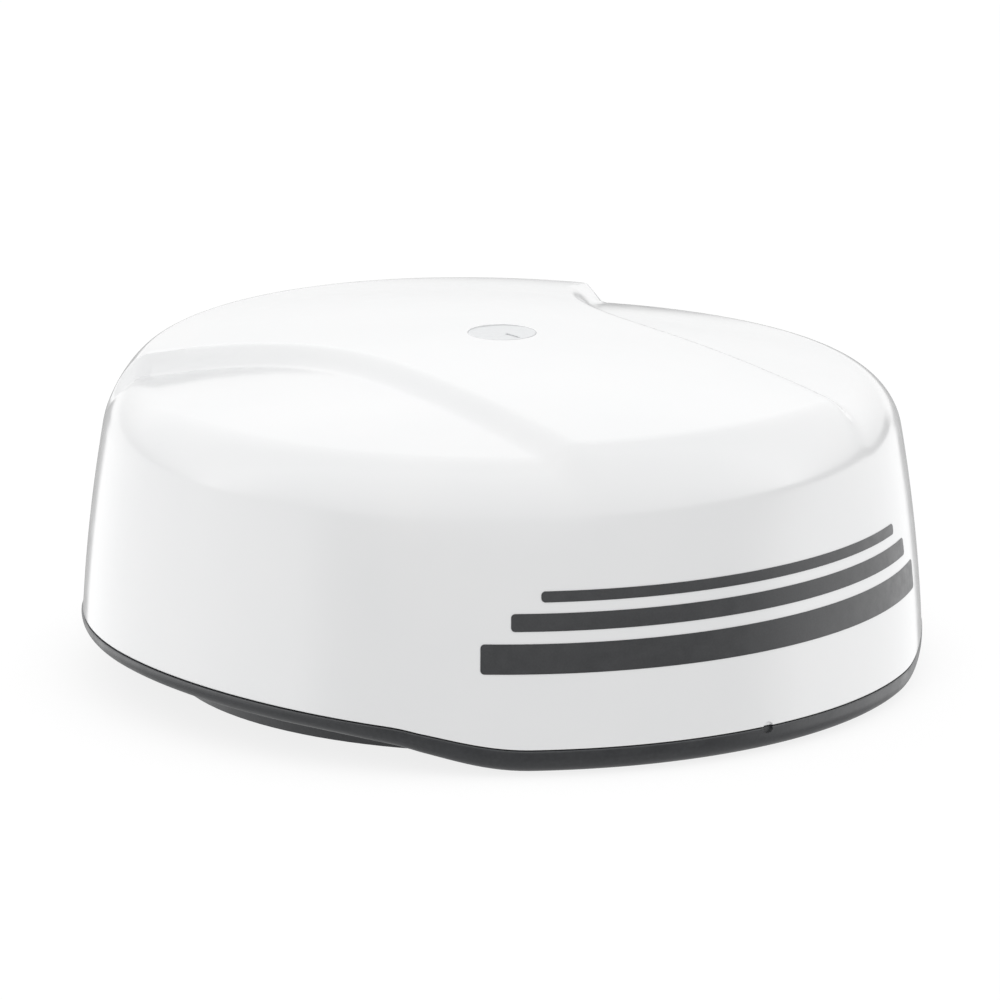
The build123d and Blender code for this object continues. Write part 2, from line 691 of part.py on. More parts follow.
def array_frame():
    low, high = ARRAY_Z[0] + 2, ARRAY_Z[1] - 2
    front = ARRAY_FRONT_Y + 3
    frame = block(-ARRAY_HALF + 4, ARRAY_HALF - 4, front, ARRAY_BACK_Y, low, high)
    cells = 10
    pitch = (2 * ARRAY_HALF - 14) / cells
    for k in range(cells):
        left = -ARRAY_HALF + 7 + k * pitch
        frame = frame - block(left + 1.5, left + pitch - 1.5, front - 1, ARRAY_BACK_Y - 3, low + 6, high - 6)
    for x, z in array_screw_points():
        frame = frame - Pos(x, ARRAY_BACK_Y, z) * Rot(90, 0, 0) * Cylinder(SCREW_R + 0.05, 20)
    for x, z in rivet_points():
        frame = frame - Pos(x, front, z) * Rot(90, 0, 0) * Cylinder(1.25, 12)
    return frame


def antenna_screws():
    """Screws of the cradle on the hub, and of the array frame on the cradle."""
    points = around(4, 31, 45)
    screws = [pan_screw(x, y, CRADLE_Z + 3, SCREW_R, 4.0, 2.6, 6.4) for x, y in points]
    for x, z in array_screw_points():
        turn = Pos(x, ARRAY_BACK_Y + 3, z) * Rot(-90, 0, 0)
        screws.append(turn * pan_screw(0, 0, 0, SCREW_R, 3.8, 2.4, 5.6))
    return Compound(children=screws)


def rivet_points():
    low, high = ARRAY_Z[0] + 5, ARRAY_Z[1] - 5
    return [(x, z) for z in (low, high) for x in range(-250, 251, 50)]


def radiating_board():
    board = block(-ARRAY_HALF, ARRAY_HALF, ARRAY_FRONT_Y + 0.5, ARRAY_FRONT_Y + 3, *ARRAY_Z)
    for x, z in rivet_points():
        board = board - Pos(x, ARRAY_FRONT_Y, z) * Rot(90, 0, 0) * Cylinder(1.3, 12)
    return board


def board_rivets():
    rivets = []
    for x, z in rivet_points():
        turn = Pos(x, ARRAY_FRONT_Y + 0.5, z) * Rot(90, 0, 0)
        rivets.append(turn * (Pos(0, 0, 0.6) * Cylinder(2.4, 1.2) + Pos(0, 0, -2.5) * Cylinder(1.2, 5)))
    return Compound(children=rivets)


def patch_elements():
    """Copper patches of the radiating board, fed in rows."""
    patches = []
    for row in (133, 155, 177):
        for k in range(24):
            x = -253 + 22 * k
            patches.append(block(x - 7, x + 7, ARRAY_FRONT_Y + 0.2, ARRAY_FRONT_Y + 0.5, row - 6, row + 6))
    return Compound(children=patches)


def counterweight():
    weight = block(-44, 44, 28, 48, CRADLE_Z + 3, CRADLE_Z + 20)
    weight = chamfer(weight.edges().group_by(Axis.Z)[-1], 1.5)
    for x in (-32, 32):
        weight = weight - rod(SCREW_R + 0.05, 90, CRADLE_Z + 12, x, 40)
    return weight


def counterweight_screws():
    screws = []
    for x in (-32, 32):
        head = rod(3.4, CRADLE_Z - 2.6, CRADLE_Z, x, 40) - rod(1.4, CRADLE_Z - 3, CRADLE_Z - 1.2, x, 40)
        screws.append(head + rod(SCREW_R, CRADLE_Z, CRADLE_Z + 11, x, 40))
    return Compound(children=screws)


# ---- electronics ----


def transceiver_case():
    x0, x1, y0, y1 = RF_BOX
    case = block(x0, x1, y0, y1, PLATE_TOP, 56) - block(x0 + 4, x1 - 4, y0 + 4, y1 - 4, PLATE_TOP + 4, 60)
    for x, y in lid_points():
        case = case + rod(4.5, PLATE_TOP + 3, 56, x, y) - rod(SMALL_R + 0.05, 46, 60, x, y)
    for k in range(9):
        y = y0 + 12 + k * 11
        case = case + block(x0 - 3, x0, y, y + 3, PLATE_TOP, 54)
    return case - rod(3.0, 20, 40, RF_EXIT_X, 0)


def lid_points():
    x0, x1, y0, y1 = RF_BOX
    return [(x, y) for x in (x0 + 6, (x0 + x1) / 2, x1 - 6) for y in (y0 + 6, y1 - 6)]


def transceiver_lid():
    x0, x1, y0, y1 = RF_BOX
    lid = block(x0, x1, y0, y1, 56, 59)
    for k in range(9):
        y = y0 + 16 + k * 10
        lid = lid + block(x0 + 14, x1 - 14, y - 1, y + 1, 59, 68)
    for x, y in lid_points():
        lid = lid - rod(SMALL_R + 0.3, 50, 60, x, y)
    return lid


def rf_board():
    x0, x1, y0, y1 = RF_BOX
    board = block(x0 + 11, x1 - 11, y0 + 12, y1 - 12, 36, 37.6)
    parts = [block(x0 + 25 + 26 * k, x0 + 43 + 26 * k, -20, 0, 37.6, 41) for k in range(3)]
    posts = [rod(2.5, PLATE_TOP + 4, 36, x, y) for x in (x0 + 16, x1 - 16) for y in (y0 + 17, y1 - 17)]
    return joined([board] + parts + posts)


def board_points():
    x0, x1, y0, y1 = MAIN_BOARD
    return [(x, y) for x in (x0 + 6, x1 - 6) for y in (y0 + 6, y1 - 6)]


def main_board():
    x0, x1, y0, y1 = MAIN_BOARD
    board = block(x0, x1, y0, y1, BOARD_Z, BOARD_Z + 1.6)
    board = fillet(board.edges().filter_by(Axis.Z), 4)
    for x, y in board_points():
        board = board - rod(SMALL_R + 0.15, 30, 40, x, y)
    return board


def board_standoffs():
    return Compound(
        children=[
            extrude(Pos(x, y, PLATE_TOP) * RegularPolygon(3.2, 6), BOARD_Z - PLATE_TOP)
            - rod(SMALL_R + 0.05, PLATE_TOP, BOARD_Z + 1, x, y)
            for x, y in board_points()
        ]
    )


def electronics_screws():
    """Screws of the transceiver's lid and of the main board."""
    screws = [pan_screw(x, y, 59, SMALL_R, 2.8, 2.0, 9) for x, y in lid_points()]
    screws += [pan_screw(x, y, BOARD_Z + 1.6, SMALL_R, 2.8, 2.0, 5) for x, y in board_points()]
    return Compound(children=screws)


def board_components():
    """Chips, coils, capacitors and headers of the main board."""
    top = BOARD_Z + 1.6
    chips = ((90, -40), (120, -40), (90, -8), (150, -10))
    parts = [block(x, x + 16, y, y + 16, top, top + 1.8) for x, y in chips]
    parts += [rod(6, top, top + 14, x, -74) for x in (86, 102, 118, 134)]
    parts += [rod(9, top, top + 9, x, 20) for x in (84, 110)]
    capacitors = [(x, y) for x in range(140, 181, 10) for y in range(18, 40, 7)]
    parts += [block(x, x + 5, y, y + 3, top, top + 1.4) for x, y in capacitors]
    parts += [block(x - 8, x + 8, 56, 66, top, top + 8) for x in HEADER_X]
    return Compound(children=parts)


def board_heatsink():
    top = BOARD_Z + 1.6
    sink = block(145, 183, -72, -30, top, top + 4)
    for k in range(8):
        sink = sink + block(146 + 5 * k, 147.5 + 5 * k, -72, -30, top + 4, top + 16)
    return sink


def wiring_harness():
    """Power lead, network lead and motor lead, each from its exit to its header."""
    top = BOARD_Z + 9.6
    power, network, motor = HEADER_X
    back = BAY_WALL_Y - 20
    routes = [
        [(-SOCKET_X, back, SOCKET_Z), (-SOCKET_X, 116, SOCKET_Z), (-SOCKET_X, 116, 46),
         (power - 12, 104, 46), (power, 61, 58), (power, 61, top)],
        [(SOCKET_X, back, SOCKET_Z), (SOCKET_X, 122, SOCKET_Z), (SOCKET_X, 122, 38), (network, 108, 38),
         (network, 61, 58), (network, 61, top)],
        [(0, AXLE_GAP + 21, 60), (0, AXLE_GAP + 32, 60), (motor - 16, 96, 62), (motor, 61, 62),
         (motor, 61, top)],
    ]
    return Compound(children=[tube_along(route, 5.5, 2.5) for route in routes])


COVER = (radome_cover, cover_inserts, side_stripes, bow_mark)
TRAY = (
    base_tray, mount_inserts, rim_gasket, cover_screws, breather_vent, power_socket, network_socket,
    socket_seals, socket_nuts, socket_pins,
)
CHASSIS = (
    chassis_plate, chassis_screws, spindle_housing, drive_motor, motor_bracket, drive_screws,
    sensor_post, position_sensor, rotary_joint_stator, transceiver_coax,
)
ELECTRONICS = (
    transceiver_case, transceiver_lid, rf_board, main_board, board_standoffs, electronics_screws,
    board_components, board_heatsink, wiring_harness,
)
ROTOR = (
    spindle_shaft, shaft_clip, bearing_spacer, rotor_hub, main_gear, gear_screws, index_magnet,
    rotary_joint_rotor, feed_coax, feed_plug, antenna_cradle, array_frame, antenna_screws,
    radiating_board, board_rivets, patch_elements, counterweight, counterweight_screws,
)
PINION = (motor_shaft, motor_pinion)


def save(name, shape):
    export_step(shape, f"parts/{name}.step")


def main():
    os.makedirs("parts", exist_ok=True)
    for make in COVER + TRAY + CHASSIS + ELECTRONICS + ROTOR + PINION:
        save(make.__name__, make())
    for place, z in zip(("lower", "upper"), BEARING_Z):
        save(f"{place}_bearing_outer_ring", bearing_outer(z))
        save(f"{place}_bearing_inner_ring", bearing_inner(z))
    balls = [ball for z in BEARING_Z for ball in bearing_balls(z).solids()]
    save("bearing_balls", Compound(children=balls))
    save("bearing_cages", Compound(children=[bearing_cage(z) for z in BEARING_Z]))


main()
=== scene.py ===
import json
import math

import bmesh
import bpy
from mathutils import Matrix, Vector


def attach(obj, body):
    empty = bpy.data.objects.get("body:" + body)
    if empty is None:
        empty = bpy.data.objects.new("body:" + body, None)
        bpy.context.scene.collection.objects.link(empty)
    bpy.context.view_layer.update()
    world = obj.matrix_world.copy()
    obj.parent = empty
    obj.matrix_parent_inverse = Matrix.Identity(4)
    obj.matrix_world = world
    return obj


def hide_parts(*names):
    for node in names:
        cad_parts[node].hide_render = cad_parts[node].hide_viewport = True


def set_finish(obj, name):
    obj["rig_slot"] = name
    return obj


# Looks of the marine radar dome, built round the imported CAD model.
# Bow is -Y, +Z is up. Shape formulas are in millimetres, and are scaled to metres
# when a mesh is made.

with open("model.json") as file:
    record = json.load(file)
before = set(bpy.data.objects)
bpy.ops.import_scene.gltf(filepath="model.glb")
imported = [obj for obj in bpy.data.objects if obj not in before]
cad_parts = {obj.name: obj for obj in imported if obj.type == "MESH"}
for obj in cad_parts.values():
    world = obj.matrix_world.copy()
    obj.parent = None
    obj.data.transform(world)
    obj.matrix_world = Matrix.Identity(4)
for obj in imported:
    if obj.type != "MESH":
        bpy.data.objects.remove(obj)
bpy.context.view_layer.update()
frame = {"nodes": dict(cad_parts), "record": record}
MM = 0.001

# ---- outer shape, the same formulas as in the CAD source ----
CHIN_Z = 20.0
RIM_R = 322.6
DOME_TOP = 228.5
DOME_R = 1588.0
SHOULDER_R = 47.0
SHOULDER_AXIS_R = 258.1
SHOULDER_DRAFT = math.radians(10.2)
COVER_WALL = 4.0
BAND_HEIGHT = 10.3
BAND_TILT = 5.1
BAND_LIFT = 6.6
BAND_HALF = 123.8
BAND_TAPER = -0.0256
BAND_FLARE = 120.0
BAND_SLOPE = 25.0
BAND_FADE = (270.2, 312.8)
BAND_REACH = 300.0  # BAND_TILT and BAND_LIFT are what they add at this y
FLARE_START = -60.0  # the band widens from this y on, by BAND_FLARE over FLARE_SPAN
FLARE_SPAN = 240.0
SEAM_RISE = 13.0  # each of the seam line's two slopes rises by this much
SEAM_BOW_START = -270.0
SEAM_BOW_SPAN = 72.0
SEAM_SIDE_START = -215.0
SEAM_SIDE_SPAN = 270.0
SEAM_GAP = 0.9
LIP_CHIN = 17.5
LIP_SIDE = 12.5
LIP_STEP_START = -260.0  # from this y on the lip thins from LIP_CHIN to LIP_SIDE
LIP_STEP_SPAN = 110.0
LIP_R = 322.4
LIP_ROUND = 11.5
LIP_EDGE = 0.7
LIP_JOINT_R = 310.0  # the rounded lip meets the rest of the tray here
LIP_JOINT_MARGIN = 2.0
LIP_SNAP = 1.5  # tray vertices this near the lip's top or bottom are put on it
NOTCH_R = 4.3
NOTCH_DEPTH = 2.0
MARK_R = 26.0
MARK_DEPTH = 1.4
LEDGE_Z = 62.0
LEDGE_R = 266.0
LEDGE_DEPTH = 4.0
LEDGE_BEVEL = 0.8
SCREW_CIRCLE_R = 290.0
SCREW_ANGLES = (33, 93, 153, 207, 267, 327)
BOSS_R = 7.0
BOSS_BORE_R = 4.0
STRIPES = ((40, 57, 79), (36, 88, 101), (32, 109, 117))  # half angle, low and high above the chin
STRIPE_T = 0.35
STRIPE_SINK = 0.3
STRIPE_CORNER = 3.0

DOME_C_Z = DOME_TOP - DOME_R
SHOULDER_Z = DOME_C_Z + math.sqrt((DOME_R - SHOULDER_R) ** 2 - SHOULDER_AXIS_R**2)
STEEPEST = math.pi / 2 - SHOULDER_DRAFT
MARK_FLOOR_Z = CHIN_Z + DOME_TOP + BAND_HEIGHT - MARK_DEPTH

# ---- how finely the meshes are divided ----
RING_COLUMNS = 300
NOTCH_COLUMNS = 12  # on each side of the notch's middle
NOTCH_MARGIN = 1.3  # even columns start at this many half widths of the notch
TOP_STEPS = 62
TURN_STEPS = 30
WALL_STEPS = 44
INNER_TOP_STEPS = 30
INNER_TURN_STEPS = 14
INNER_WALL_STEPS = 15
LEDGE_COLUMNS = 240
BOSS_COLUMNS = 40
LIP_FACE_STEPS = 4
LIP_ROUND_STEPS = 12
BAR_CORNER_STEPS = 8
BAR_STEPS = 120
CREASE = 35.0  # degrees, edges that turn more than this stay sharp
TRAY_CREASE = 28.0
MERGE = 2e-6  # metres
SLIVER = 1e-6  # metres


def wall_arc():
    """Centre (r, z) and radius of the wall's arc, which runs on smoothly from the shoulder."""
    dr = RIM_R - SHOULDER_AXIS_R
    sin_a, cos_a = math.sin(SHOULDER_DRAFT), math.cos(SHOULDER_DRAFT)
    reach = SHOULDER_R - cos_a * dr + SHOULDER_Z * sin_a
    shift = (dr**2 + SHOULDER_Z**2 - SHOULDER_R**2) / (2 * reach)
    return SHOULDER_AXIS_R - shift * cos_a, SHOULDER_Z - shift * sin_a, shift + SHOULDER_R


WALL_C_R, WALL_C_Z, WALL_R = wall_arc()


def wall_radius(z, inset=0.0):
    """Distance of the wall from the axis at a height."""
    return WALL_C_R + math.sqrt((WALL_R - inset) ** 2 - (z - CHIN_Z - WALL_C_Z) ** 2)


def ease(t):
    """Smooth step from 0 to 1."""
    t = min(1.0, max(0.0, t))
    return t * t * (3 - 2 * t)


def band_height(x, y):
    """How far the raised fore-and-aft band stands above the plain dome."""
    flare = BAND_FLARE * (max(0.0, y - FLARE_START) / FLARE_SPAN) ** 3
    half = BAND_HALF + BAND_TAPER * y + flare
    across = ease((half + BAND_SLOPE / 2 - abs(x)) / BAND_SLOPE)
    fade = 1 - ease((math.hypot(x, y) - BAND_FADE[0]) / (BAND_FADE[1] - BAND_FADE[0]))
    rise = BAND_HEIGHT + BAND_TILT * y / BAND_REACH + BAND_LIFT * (y / BAND_REACH) ** 2
    return rise * across * fade


def seam_height(y):
    """Height of the line between the cover and the tray, lowest at the bow."""
    at_bow = ease((y - SEAM_BOW_START) / SEAM_BOW_SPAN)
    late = min(1.0, max(0.0, (y - SEAM_SIDE_START) / SEAM_SIDE_SPAN))
    return CHIN_Z + SEAM_RISE * at_bow + SEAM_RISE * (1 - (1 - late) ** 2)


def lip_bottom(y):
    """Height of the underside of the tray's lip."""
    past_chin = ease((y - LIP_STEP_START) / LIP_STEP_SPAN)
    return seam_height(y) - LIP_CHIN + (LIP_CHIN - LIP_SIDE) * past_chin


def columns(count, half_notch_angle):
    """Angles round the axis from the bow, with closer ones across the notch."""
    n = NOTCH_COLUMNS
    fine = [half_notch_angle * math.sin(math.pi * k / (2 * n)) for k in range(-n, n + 1)]
    even = [2 * math.pi * k / count for k in range(count)]
    clear = half_notch_angle * NOTCH_MARGIN
    return fine + [a for a in even if clear < a < 2 * math.pi - clear]


def shell_profile(inset, top_steps, turn_steps, first_r):
    """Points (r, z) of the cover's section from near the axis to the start of the wall."""
    radius, dome = SHOULDER_R - inset, DOME_R - inset
    start = math.asin(SHOULDER_AXIS_R / (DOME_R - SHOULDER_R))
    turn_r = dome * math.sin(start)
    points = []
    for k in range(top_steps):
        r = first_r + (turn_r - first_r) * k / top_steps
        points.append((r, CHIN_Z + DOME_C_Z + math.sqrt(dome**2 - r * r)))
    for k in range(turn_steps + 1):
        a = start + (STEEPEST - start) * k / turn_steps
        r = SHOULDER_AXIS_R + radius * math.sin(a)
        points.append((r, CHIN_Z + SHOULDER_Z + radius * math.cos(a)))
    return points


def at(angle, r, z):
    """Point in metres at an angle from the bow."""
    return (r * math.sin(angle) * MM, -r * math.cos(angle) * MM, z * MM)


def shade(bm, crease):
    """Smooth shading, but for edges sharper than the crease angle."""
    for face in bm.faces:
        face.smooth = True
    for edge in bm.edges:
        if edge.is_manifold and edge.calc_face_angle(0.0) > math.radians(crease):
            edge.smooth = False


def finish_mesh(bm, mesh):
    """Cleans the mesh, shades it smooth with sharp creases, and writes it out."""
    bmesh.ops.remove_doubles(bm, verts=bm.verts, dist=MERGE)
    bmesh.ops.dissolve_degenerate(bm, edges=bm.edges, dist=SLIVER)
    bmesh.ops.recalc_face_normals(bm, faces=bm.faces)
    shade(bm, CREASE)
    bm.to_mesh(mesh)
    bm.free()


def grid_mesh(name, loops, close_rows=False, cap_first=None, cap_last=None):
    """Mesh from columns of points, all of one length; the columns close in a ring."""
    mesh = bpy.data.meshes.new(name)
    bm = bmesh.new()
    rows = [[bm.verts.new(p) for p in loop] for loop in loops]
    count, height = len(rows), len(rows[0])
    for i in range(count):
        a, b = rows[i], rows[(i + 1) % count]
        for j in range(height if close_rows else height - 1):
            k = (j + 1) % height
            bm.faces.new((a[j], a[k], b[k], b[j]))
    for cap, end in ((cap_first, 0), (cap_last, height - 1)):
        if cap is not None:
            tip = bm.verts.new(cap)
            for i in range(count):
                bm.faces.new((tip, rows[i][end], rows[(i + 1) % count][end]))
    finish_mesh(bm, mesh)
    piece = bpy.data.objects.new(name, mesh)
    bpy.context.scene.collection.objects.link(piece)
    return piece


def notch_top(angle, r, sign):
    """Height where the notch's rim crosses this column, or None outside it."""
    x = r * math.sin(angle)
    if abs(x) >= NOTCH_R or math.cos(angle) < 0:
        return None
    return CHIN_Z + sign * math.sqrt(NOTCH_R**2 - x * x)


def cover_column(angle):
    """One section of the cover: recess floor, outside, lower edge, then back up the inside."""
    s, c = math.sin(angle), -math.cos(angle)

    def lifted(r, z):
        return r, z + band_height(r * s, r * c)

    # the recess of the top mark, with a softened edge
    points = [(MARK_R * f, MARK_FLOOR_Z) for f in (0.5, 0.97)]
    points.append((MARK_R, MARK_FLOOR_Z + 0.03))
    first_z = CHIN_Z + DOME_C_Z + math.sqrt(DOME_R**2 - MARK_R**2)
    for out, drop in ((0.0, -0.55), (0.12, -0.2), (0.45, 0.0)):
        points.append(lifted(MARK_R + out, first_z + drop))
    outer = shell_profile(0.0, TOP_STEPS, TURN_STEPS, MARK_R + 1.2)
    points += [lifted(r, z) for r, z in outer]
    # the wall, down to the seam
    top_z = outer[-1][1]
    seam = seam_height(RIM_R * c) + SEAM_GAP
    rim_r = wall_radius(seam)
    notch = notch_top(angle, rim_r, 1)
    stop = max(seam + 1.0, notch) if notch is not None else seam + 1.0
    for k in range(1, WALL_STEPS + 1):
        z = top_z + (stop - top_z) * k / WALL_STEPS
        points.append(lifted(wall_radius(z), z))
    # the softened lower edge, set back in the notch
    if notch is not None:
        points.append((wall_radius(stop) - NOTCH_DEPTH, stop))
        points.append((rim_r - NOTCH_DEPTH, seam + 0.3))
        points.append((rim_r - NOTCH_DEPTH - 0.2, seam))
    else:
        points.append((wall_radius(seam + 0.3) - 0.08, seam + 0.4))
        points.append((rim_r - 0.3, seam + 0.08))
        points.append((rim_r - 0.8, seam))
    # the inside, from the edge up to the axis
    inner_edge = rim_r - COVER_WALL
    inner_seam = seam_height(inner_edge * c) + SEAM_GAP
    points.append((inner_edge + 0.3, inner_seam))
    inner = shell_profile(COVER_WALL, INNER_TOP_STEPS, INNER_TURN_STEPS, 9.0)
    low = inner_seam + 0.3
    inner_top = inner[-1][1]
    for k in range(INNER_WALL_STEPS):
        z = low + (inner_top - low) * k / INNER_WALL_STEPS
        points.append(lifted(wall_radius(z, COVER_WALL), z))
    points += [lifted(r, z) for r, z in reversed(inner)]
    return [at(angle, r, z) for r, z in points]


def make_cover():
    """The whole skin of the cover, outside and inside, closed at the axis."""
    turns = columns(RING_COLUMNS, math.asin(NOTCH_R / wall_radius(CHIN_Z + SEAM_GAP)))
    floor = (0, 0, MARK_FLOOR_Z * MM)
    inside = (0, 0, (CHIN_Z + DOME_TOP - COVER_WALL + BAND_HEIGHT) * MM)
    loops = [cover_column(a) for a in turns]
    return grid_mesh("cover_shell", loops, cap_first=floor, cap_last=inside)


def lathe(name, profile, count, centre=(0.0, 0.0)):
    """Closed ring round an upright axis, from a closed profile of (r, z)."""
    cx, cy = centre[0] * MM, centre[1] * MM
    loops = []
    for k in range(count):
        a = 2 * math.pi * k / count
        ring = [(cx + r * math.sin(a) * MM, cy - r * math.cos(a) * MM, z * MM) for r, z in profile]
        loops.append(ring)
    return grid_mesh(name, loops, close_rows=True)


def joined(name, pieces):
    """One object from several meshes."""
    bm = bmesh.new()
    for piece in pieces:
        bm.from_mesh(piece.data)
    mesh = bpy.data.meshes.new(name)
    bm.to_mesh(mesh)
    bm.free()
    for piece in pieces:
        bpy.data.meshes.remove(piece.data)
    result = bpy.data.objects.new(name, mesh)
    bpy.context.scene.collection.objects.link(result)
    return result


def make_cover_inside():
    """Sealing ledge and screw bosses inside the cover."""
    sunk = COVER_WALL - 0.5  # the ledge starts a little inside the wall's stock
    top = LEDGE_Z + LEDGE_DEPTH
    ledge = [
        (LEDGE_R + LEDGE_BEVEL, LEDGE_Z),
        (wall_radius(LEDGE_Z) - sunk, LEDGE_Z),
        (wall_radius(top) - sunk, top),
        (LEDGE_R + LEDGE_BEVEL, top),
        (LEDGE_R, top - LEDGE_BEVEL),
        (LEDGE_R, LEDGE_Z + LEDGE_BEVEL),
    ]
    parts = [lathe("ledge", ledge, LEDGE_COLUMNS)]
    for degrees in SCREW_ANGLES:
        a = math.radians(degrees)
        x, y = SCREW_CIRCLE_R * math.sin(a), -SCREW_CIRCLE_R * math.cos(a)
        low = seam_height(y) + SEAM_GAP + 0.6
        tube = [
            (BOSS_BORE_R, low),
            (BOSS_R - 0.4, low),
            (BOSS_R, low + 0.4),
            (BOSS_R, LEDGE_Z - 1.2),
            (BOSS_R + 0.5, LEDGE_Z - 0.3),
            (BOSS_R + 1.4, LEDGE_Z + 0.2),
            (BOSS_BORE_R, LEDGE_Z + 0.2),
        ]
        parts.append(lathe("boss", tube, BOSS_COLUMNS, (x, y)))
    return joined("cover_ledge", parts)


def lip_column(angle):
    """Closed section of the tray's rounded lip."""
    c = -math.cos(angle)
    y = LIP_R * c
    top, low = seam_height(y), lip_bottom(y)
    inner = LIP_JOINT_R
    top_in, low_in = seam_height(inner * c), lip_bottom(inner * c)
    notch = notch_top(angle, LIP_R, -1)
    points = [(inner, top_in), (LIP_R - 3.0, seam_height((LIP_R - 3.0) * c))]
    if notch is not None and notch < top - LIP_EDGE:
        notch_r = LIP_R - NOTCH_DEPTH
        points += [(notch_r - 0.2, top), (notch_r, top - 0.2), (notch_r, notch)]
        start = notch
    else:
        points += [(LIP_R - LIP_EDGE, top), (LIP_R - 0.2, top - 0.2), (LIP_R, top - LIP_EDGE)]
        start = top - LIP_EDGE
    mid = low + LIP_ROUND
    for k in range(1, LIP_FACE_STEPS):
        points.append((LIP_R, start + (mid - start) * k / LIP_FACE_STEPS))
    for k in range(LIP_ROUND_STEPS + 1):
        a = math.pi / 2 * k / LIP_ROUND_STEPS
        points.append((LIP_R - LIP_ROUND * (1 - math.cos(a)), mid - LIP_ROUND * math.sin(a)))
    points.append((inner, low_in))
    return [at(angle, r, z) for r, z in points]


def make_lip():
    turns = columns(RING_COLUMNS, math.asin(NOTCH_R / LIP_R))
    return grid_mesh("tray_lip", [lip_column(a) for a in turns], close_rows=True)


def make_tray():
    """Copy of the tray whose outer edge is drawn in to where the rounded lip begins."""
    source = frame["nodes"]["base_tray"]
    piece = source.copy()
    piece.data = source.data.copy()
    piece.name = "tray_body"
    for key in list(piece.keys()):
        del piece[key]
    piece.parent = None
    piece.hide_render = False
    bpy.context.scene.collection.objects.link(piece)
    bm = bmesh.new()
    bm.from_mesh(piece.data)
    bmesh.ops.remove_doubles(bm, verts=bm.verts, dist=SLIVER)
    for vert in bm.verts:
        x, y, z = (v / MM for v in vert.co)
        r = math.hypot(x, y)
        if r > LIP_JOINT_R + LIP_JOINT_MARGIN:
            on_top = abs(z - seam_height(y)) < LIP_SNAP
            on_floor = abs(z - lip_bottom(y)) < LIP_SNAP
            x, y = x * LIP_JOINT_R / r, y * LIP_JOINT_R / r
            if on_top:
                z = seam_height(y)
            elif on_floor:
                z = lip_bottom(y)
            vert.co = Vector((x, y, z)) * MM
    bmesh.ops.dissolve_degenerate(bm, edges=bm.edges, dist=SLIVER)
    shade(bm, TRAY_CREASE)
    bm.to_mesh(piece.data)
    bm.free()
    if piece.data.has_custom_normals:
        with bpy.context.temp_override(object=piece, active_object=piece, selected_objects=[piece]):
            bpy.ops.mesh.customdata_custom_splitnormals_clear()
    return piece


def make_bars():
    """Three printed bars round the front wall, thin skins with rounded ends."""
    parts = []
    for half_angle, low, high in STRIPES:
        middle, half_height = CHIN_Z + (low + high) / 2, (high - low) / 2
        mean_r = wall_radius(middle)
        half_width = math.radians(half_angle) * mean_r
        corner = min(STRIPE_CORNER, half_height)
        right = []
        for k in reversed(range(BAR_CORNER_STEPS + 1)):
            a = math.pi / 2 * k / BAR_CORNER_STEPS
            w = half_width - corner * (1 - math.sin(a))
            right.append((w, half_height - corner * (1 - math.cos(a))))
        inner_w = right[-1][0]
        run = [inner_w - 2 * inner_w * k / BAR_STEPS for k in range(1, BAR_STEPS)]
        line = right + [(w, half_height) for w in run] + [(-w, h) for w, h in reversed(right)]
        loops = []
        for w, h in line:
            a = w / mean_r
            loop = []
            for lift, heights in ((STRIPE_T, (-1, -0.5, 0, 0.5, 1)), (-STRIPE_SINK, (1, 0, -1))):
                for f in heights:
                    z = middle + h * f
                    loop.append(at(a, wall_radius(z) + lift + band_push(a, z), z))
            loops.append(loop)
        parts.append(strip_mesh("bar", loops))
    return joined("side_bars", parts)


def band_push(angle, z):
    """How far the fading band still moves the wall outwards at this height."""
    r = wall_radius(z)
    rise = band_height(r * math.sin(angle), -r * math.cos(angle))
    return wall_radius(z - rise) - r


def strip_mesh(name, loops):
    """Closed thin body through a run of closed sections."""
    mesh = bpy.data.meshes.new(name)
    bm = bmesh.new()
    rows = [[bm.verts.new(p) for p in loop] for loop in loops]
    size = len(rows[0])
    for a, b in zip(rows, rows[1:]):
        for j in range(size):
            k = (j + 1) % size
            bm.faces.new((a[j], a[k], b[k], b[j]))
    bm.faces.new(rows[0])
    bm.faces.new(list(reversed(rows[-1])))
    finish_mesh(bm, mesh)
    return bpy.data.objects.new(name, mesh)


cover = make_cover()
bars = make_bars()
cover_inside = make_cover_inside()
lip = make_lip()
tray = make_tray()
for piece, body, node, slot in (
    (cover, "cover", "radome_cover", "radome_shell"),
    (cover_inside, "cover", "radome_cover", "radome_shell"),
    (bars, "cover", "side_stripes", "marking"),
    (lip, "base", "base_tray", "tray_plastic"),
    (tray, "base", "base_tray", "tray_plastic"),
):
    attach(piece, body)
    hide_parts(node)
    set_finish(piece, slot)


# ---- materials ----


